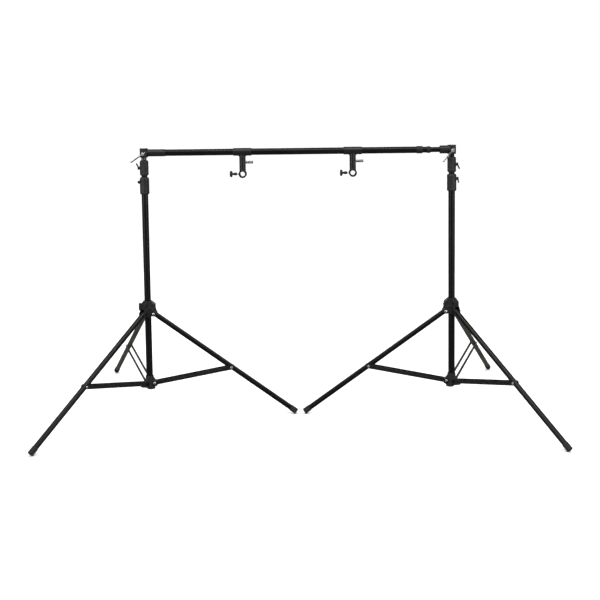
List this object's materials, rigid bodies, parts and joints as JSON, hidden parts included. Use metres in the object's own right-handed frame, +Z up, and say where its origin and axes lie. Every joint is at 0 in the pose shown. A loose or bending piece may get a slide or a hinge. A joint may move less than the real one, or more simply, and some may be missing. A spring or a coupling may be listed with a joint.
{
  "type": "background support set",
  "caption": "Telescopic crossbar held between two folding tripod light stands, with sliding hanging brackets for a photographic background.",
  "frame": {"origin": "on the floor, under the middle of the whole set's box", "axes": "+X along the crossbar towards its sliding end, +Y away from the user, +Z up"},
  "size_m": [2.04, 1.1066, 1.1265],
  "materials": {
    "black_tube": "black anodised drawn tube, satin",
    "dark_casting": "dark grey powder-coated casting",
    "bracket_casting": "black powder-coated casting",
    "black_collar": "moulded nylon, fine texture",
    "moulded_knob": "moulded plastic",
    "plated_screw": "bright nickel plate",
    "bright_bolts": "zinc plated, domed heads",
    "turned_stud": "turned and brushed",
    "brace_strip": "black painted flat strip",
    "foot_rubber": "moulded rubber"
  },
  "bodies": {
    "left_column": {"left_base_tube": "black_tube", "left_foot_casting": "dark_casting", "left_foot_bolts": "bright_bolts", "left_lower_collar": "black_collar"},
    "left_lower_knob": {"left_lower_knob": "moulded_knob"},
    "left_hub": {"left_leg_hub": "dark_casting", "left_hub_bolts": "bright_bolts"},
    "left_hub_knob": {"left_hub_knob": "moulded_knob"},
    "left_middle_riser": {"left_middle_tube": "black_tube", "left_upper_collar": "black_collar"},
    "left_upper_knob": {"left_upper_knob": "moulded_knob"},
    "left_top_riser": {"left_top_tube": "black_tube", "left_stud": "turned_stud"},
    "left_leg_inner": {"left_leg_inner": "black_tube", "left_foot_inner": "foot_rubber"},
    "left_brace_inner": {"left_brace_inner": "brace_strip"},
    "left_leg_back": {"left_leg_back": "black_tube", "left_foot_back": "foot_rubber"},
    "left_brace_back": {"left_brace_back": "brace_strip"},
    "left_leg_front": {"left_leg_front": "black_tube", "left_foot_front": "foot_rubber"},
    "left_brace_front": {"left_brace_front": "brace_strip"},
    "right_column": {"right_base_tube": "black_tube", "right_foot_casting": "dark_casting", "right_foot_bolts": "bright_bolts", "right_lower_collar": "black_collar"},
    "right_lower_knob": {"right_lower_knob": "moulded_knob"},
    "right_hub": {"right_leg_hub": "dark_casting", "right_hub_bolts": "bright_bolts"},
    "right_hub_knob": {"right_hub_knob": "moulded_knob"},
    "right_middle_riser": {"right_middle_tube": "black_tube", "right_upper_collar": "black_collar"},
    "right_upper_knob": {"right_upper_knob": "moulded_knob"},
    "right_top_riser": {"right_top_tube": "black_tube", "right_stud": "turned_stud"},
    "right_leg_front": {"right_leg_front": "black_tube", "right_foot_front": "foot_rubber"},
    "right_brace_front": {"right_brace_front": "brace_strip"},
    "right_leg_back": {"right_leg_back": "black_tube", "right_foot_back": "foot_rubber"},
    "right_brace_back": {"right_brace_back": "brace_strip"},
    "right_leg_inner": {"right_leg_inner": "black_tube", "right_foot_inner": "foot_rubber"},
    "right_brace_inner": {"right_brace_inner": "brace_strip"},
    "crossbar": {"bar_outer_tube": "black_tube", "bar_end_sleeve": "black_collar", "left_head_casting": "dark_casting"},
    "left_head_screw": {"left_head_screw": "plated_screw"},
    "outer_ring": {"bar_outer_ring": "black_collar"},
    "bar_middle": {"bar_middle_tube": "black_tube"},
    "inner_ring": {"bar_inner_ring": "black_collar"},
    "bar_inner": {"bar_inner_tube": "black_tube", "right_head_casting": "dark_casting"},
    "right_head_screw": {"right_head_screw": "plated_screw"},
    "left_bracket": {"left_bracket": "bracket_casting"},
    "left_bracket_knob": {"left_bracket_knob": "moulded_knob"},
    "left_bracket_screw": {"left_bracket_screw": "plated_screw"},
    "right_bracket": {"right_bracket": "bracket_casting"},
    "right_bracket_knob": {"right_bracket_knob": "moulded_knob"},
    "right_bracket_screw": {"right_bracket_screw": "plated_screw"}
  },
  "joints": [
    {"name": "left_lower_knob_turn", "type": "hinge", "parent": "left_column", "child": "left_lower_knob", "pos_m": [-0.645, -0.02815, 0.984], "axis": [-1, 0, 0], "range_deg": [0, 270]},
    {"name": "left_upper_knob_turn", "type": "hinge", "parent": "left_middle_riser", "child": "left_upper_knob", "pos_m": [-0.645, -0.02815, 1.044], "axis": [-1, 0, 0], "range_deg": [0, 270]},
    {"name": "left_hub_slide", "type": "slide", "parent": "left_column", "child": "left_hub", "axis": [0, 0, 1], "range_m": [0, 0.4403]},
    {"name": "left_hub_knob_turn", "type": "hinge", "parent": "left_hub", "child": "left_hub_knob", "pos_m": [-0.645, -0.02815, 0.4515], "axis": [-0.9959, 0.0906, 0], "range_deg": [0, 270]},
    {"name": "left_leg_inner_fold", "type": "hinge", "parent": "left_hub", "child": "left_leg_inner", "pos_m": [-0.61712, -0.03069, 0.4234], "axis": [0.0906, 0.9959, 0], "range_deg": [0, 52.04]},
    {"name": "left_brace_inner_fold", "type": "hinge", "parent": "left_column", "child": "left_brace_inner", "pos_m": [-0.6201, -0.03042, 0.1239], "axis": [-0.0906, -0.9959, 0], "range_deg": [0, 73.09]},
    {"name": "left_leg_back_fold", "type": "hinge", "parent": "left_hub", "child": "left_leg_back", "pos_m": [-0.65674, -0.00273, 0.4234], "axis": [-0.9078, -0.4195, 0], "range_deg": [0, 52.04]},
    {"name": "left_brace_back_fold", "type": "hinge", "parent": "left_column", "child": "left_brace_back", "pos_m": [-0.65549, -0.00546, 0.1239], "axis": [0.9078, 0.4195, 0], "range_deg": [0, 73.09]},
    {"name": "left_leg_front_fold", "type": "hinge", "parent": "left_hub", "child": "left_leg_front", "pos_m": [-0.66114, -0.05103, 0.4234], "axis": [0.8171, -0.5764, 0], "range_deg": [0, 52.04]},
    {"name": "left_brace_front_fold", "type": "hinge", "parent": "left_column", "child": "left_brace_front", "pos_m": [-0.65941, -0.04858, 0.1239], "axis": [-0.8171, 0.5764, 0], "range_deg": [0, 73.09]},
    {"name": "right_lower_knob_turn", "type": "hinge", "parent": "right_column", "child": "right_lower_knob", "pos_m": [0.645, -0.02815, 0.984], "axis": [1, 0, 0], "range_deg": [0, 270]},
    {"name": "right_upper_knob_turn", "type": "hinge", "parent": "right_middle_riser", "child": "right_upper_knob", "pos_m": [0.645, -0.02815, 1.044], "axis": [1, 0, 0], "range_deg": [0, 270]},
    {"name": "right_hub_slide", "type": "slide", "parent": "right_column", "child": "right_hub", "axis": [0, 0, 1], "range_m": [0, 0.4403]},
    {"name": "right_hub_knob_turn", "type": "hinge", "parent": "right_hub", "child": "right_hub_knob", "pos_m": [0.645, -0.02815, 0.4515], "axis": [-0.5764, 0.8171, 0], "range_deg": [0, 270]},
    {"name": "right_leg_front_fold", "type": "hinge", "parent": "right_hub", "child": "right_leg_front", "pos_m": [0.66114, -0.05103, 0.4234], "axis": [0.8171, 0.5764, 0], "range_deg": [0, 52.04]},
    {"name": "right_brace_front_fold", "type": "hinge", "parent": "right_column", "child": "right_brace_front", "pos_m": [0.65941, -0.04858, 0.1239], "axis": [-0.8171, -0.5764, 0], "range_deg": [0, 73.09]},
    {"name": "right_leg_back_fold", "type": "hinge", "parent": "right_hub", "child": "right_leg_back", "pos_m": [0.65674, -0.00273, 0.4234], "axis": [-0.9078, 0.4195, 0], "range_deg": [0, 52.04]},
    {"name": "right_brace_back_fold", "type": "hinge", "parent": "right_column", "child": "right_brace_back", "pos_m": [0.65549, -0.00546, 0.1239], "axis": [0.9078, -0.4195, 0], "range_deg": [0, 73.09]},
    {"name": "right_leg_inner_fold", "type": "hinge", "parent": "right_hub", "child": "right_leg_inner", "pos_m": [0.61712, -0.03069, 0.4234], "axis": [0.0906, -0.9959, 0], "range_deg": [0, 52.04]},
    {"name": "right_brace_inner_fold", "type": "hinge", "parent": "right_column", "child": "right_brace_inner", "pos_m": [0.6201, -0.03042, 0.1239], "axis": [-0.0906, 0.9959, 0], "range_deg": [0, 73.09]},
    {"name": "left_middle_slide", "type": "slide", "parent": "left_column", "child": "left_middle_riser", "axis": [0, 0, 1], "range_m": [0, 0.7]},
    {"name": "left_top_slide", "type": "slide", "parent": "left_middle_riser", "child": "left_top_riser", "axis": [0, 0, 1], "range_m": [0, 0.7]},
    {"name": "left_head_swivel", "type": "hinge", "parent": "left_top_riser", "child": "crossbar", "pos_m": [-0.645, -0.02815, 1.1], "axis": [0, 0, 1], "continuous": true},
    {"name": "left_head_screw_turn", "type": "hinge", "parent": "crossbar", "child": "left_head_screw", "pos_m": [-0.645, -0.02815, 1.103], "axis": [0, -1, 0], "range_deg": [0, 270]},
    {"name": "outer_ring_twist", "type": "hinge", "parent": "crossbar", "child": "outer_ring", "pos_m": [0.51, -0.02815, 1.107], "axis": [1, 0, 0], "range_deg": [0, 120]},
    {"name": "bar_middle_slide", "type": "slide", "parent": "crossbar", "child": "bar_middle", "axis": [1, 0, 0], "range_m": [0, 0.85]},
    {"name": "inner_ring_twist", "type": "hinge", "parent": "bar_middle", "child": "inner_ring", "pos_m": [0.548, -0.02815, 1.107], "axis": [1, 0, 0], "range_deg": [0, 120]},
    {"name": "bar_inner_slide", "type": "slide", "parent": "bar_middle", "child": "bar_inner", "axis": [1, 0, 0], "range_m": [0, 0.85]},
    {"name": "right_head_screw_turn", "type": "hinge", "parent": "bar_inner", "child": "right_head_screw", "pos_m": [0.645, -0.02815, 1.103], "axis": [0, -1, 0], "range_deg": [0, 270]},
    {"name": "right_head_swivel", "type": "hinge", "parent": "bar_inner", "child": "right_top_riser", "pos_m": [0.645, -0.02815, 1.1], "axis": [0, 0, 1], "continuous": true},
    {"name": "right_top_slide", "type": "slide", "parent": "right_top_riser", "child": "right_middle_riser", "axis": [0, 0, -1], "range_m": [0, 0.7]},
    {"name": "right_middle_slide", "type": "slide", "parent": "right_middle_riser", "child": "right_column", "axis": [0, 0, -1], "range_m": [0, 0.7]},
    {"name": "left_bracket_slide", "type": "slide", "parent": "crossbar", "child": "left_bracket", "axis": [1, 0, 0], "range_m": [-0.28, 0.15]},
    {"name": "left_bracket_knob_turn", "type": "hinge", "parent": "left_bracket", "child": "left_bracket_knob", "pos_m": [-0.261, -0.02815, 1.014], "axis": [-1, 0, 0], "range_deg": [0, 360]},
    {"name": "left_bracket_screw_turn", "type": "hinge", "parent": "left_bracket", "child": "left_bracket_screw", "pos_m": [-0.201, -0.02815, 1.063], "axis": [1, 0, 0], "range_deg": [0, 270]},
    {"name": "right_bracket_slide", "type": "slide", "parent": "crossbar", "child": "right_bracket", "axis": [1, 0, 0], "range_m": [-0.15, 0.22]},
    {"name": "right_bracket_knob_turn", "type": "hinge", "parent": "right_bracket", "child": "right_bracket_knob", "pos_m": [0.201, -0.02815, 1.014], "axis": [-1, 0, 0], "range_deg": [0, 360]},
    {"name": "right_bracket_screw_turn", "type": "hinge", "parent": "right_bracket", "child": "right_bracket_screw", "pos_m": [0.261, -0.02815, 1.063], "axis": [1, 0, 0], "range_deg": [0, 270]}
  ],
  "couplings": [
    {"joint": "left_leg_inner_fold", "follows": "left_hub_slide", "rad_per_m": 2.062},
    {"joint": "left_brace_inner_fold", "follows": "left_hub_slide", "rad_per_m": 2.8965},
    {"joint": "left_leg_back_fold", "follows": "left_hub_slide", "rad_per_m": 2.062},
    {"joint": "left_brace_back_fold", "follows": "left_hub_slide", "rad_per_m": 2.8965},
    {"joint": "left_leg_front_fold", "follows": "left_hub_slide", "rad_per_m": 2.062},
    {"joint": "left_brace_front_fold", "follows": "left_hub_slide", "rad_per_m": 2.8965},
    {"joint": "right_leg_front_fold", "follows": "right_hub_slide", "rad_per_m": 2.062},
    {"joint": "right_brace_front_fold", "follows": "right_hub_slide", "rad_per_m": 2.8965},
    {"joint": "right_leg_back_fold", "follows": "right_hub_slide", "rad_per_m": 2.062},
    {"joint": "right_brace_back_fold", "follows": "right_hub_slide", "rad_per_m": 2.8965},
    {"joint": "right_leg_inner_fold", "follows": "right_hub_slide", "rad_per_m": 2.062},
    {"joint": "right_brace_inner_fold", "follows": "right_hub_slide", "rad_per_m": 2.8965},
    {"joint": "right_top_slide", "follows": "left_top_slide", "ratio": 1},
    {"joint": "right_middle_slide", "follows": "left_middle_slide", "ratio": 1}
  ]
}
